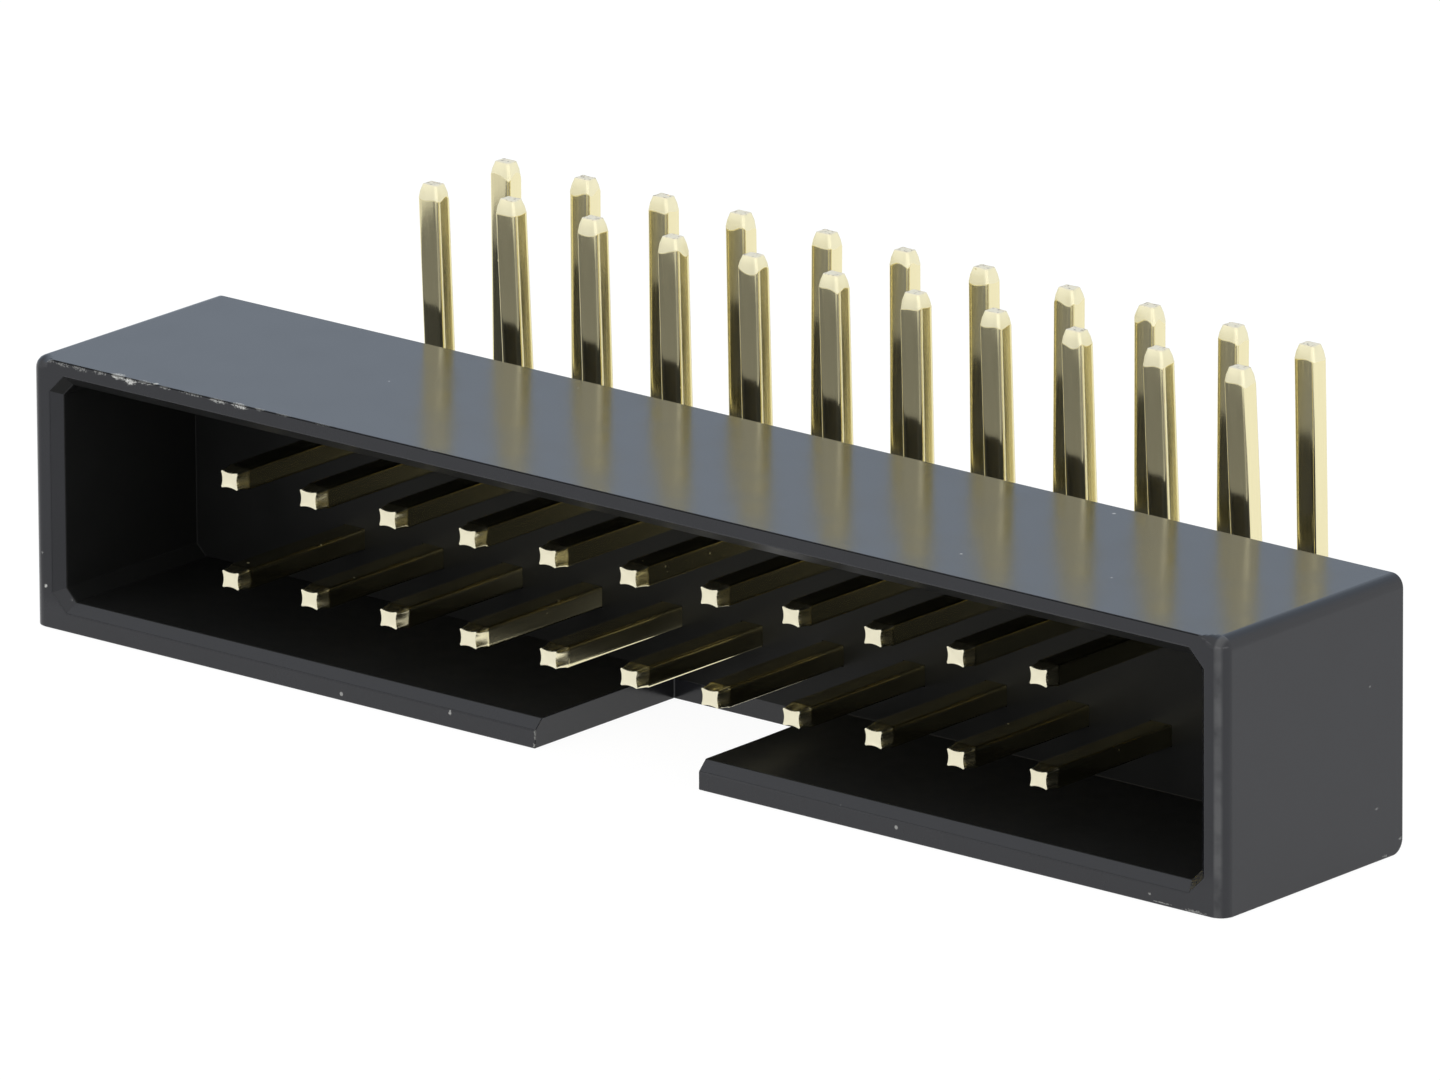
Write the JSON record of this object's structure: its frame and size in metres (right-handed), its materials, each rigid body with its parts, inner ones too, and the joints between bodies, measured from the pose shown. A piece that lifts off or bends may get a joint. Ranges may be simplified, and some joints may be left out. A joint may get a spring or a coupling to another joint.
{
  "type": "idc box header",
  "caption": "Right-angle box header: a keyed, open-mouthed black housing that holds rows of bent, gold-plated contacts with solder legs.",
  "frame": {"origin": "under the middle of the whole header (housing and legs), on the outer face of the keyed wall, on which the header lies", "axes": "+X along the rows of contacts, -Y out of the mating mouth, +Y towards the solder legs, +Z from the keyed wall to the face that seats on the board, the way the legs point"},
  "size_m": [0.0294, 0.0088, 0.0083],
  "materials": {
    "black_moulding": "moulded semi-gloss black, lightly soiled along its edges",
    "gold_plate": "bright pale gold plating on drawn wire, with cut ends"
  },
  "bodies": {
    "root": {"housing": "black_moulding", "contact_01": "gold_plate", "contact_02": "gold_plate", "contact_03": "gold_plate", "contact_04": "gold_plate", "contact_05": "gold_plate", "contact_06": "gold_plate", "contact_07": "gold_plate", "contact_08": "gold_plate", "contact_09": "gold_plate", "contact_10": "gold_plate", "contact_11": "gold_plate", "contact_12": "gold_plate", "contact_13": "gold_plate", "contact_14": "gold_plate", "contact_15": "gold_plate", "contact_16": "gold_plate", "contact_17": "gold_plate", "contact_18": "gold_plate", "contact_19": "gold_plate", "contact_20": "gold_plate", "contact_21": "gold_plate", "contact_22": "gold_plate"}
  },
  "joints": []
}
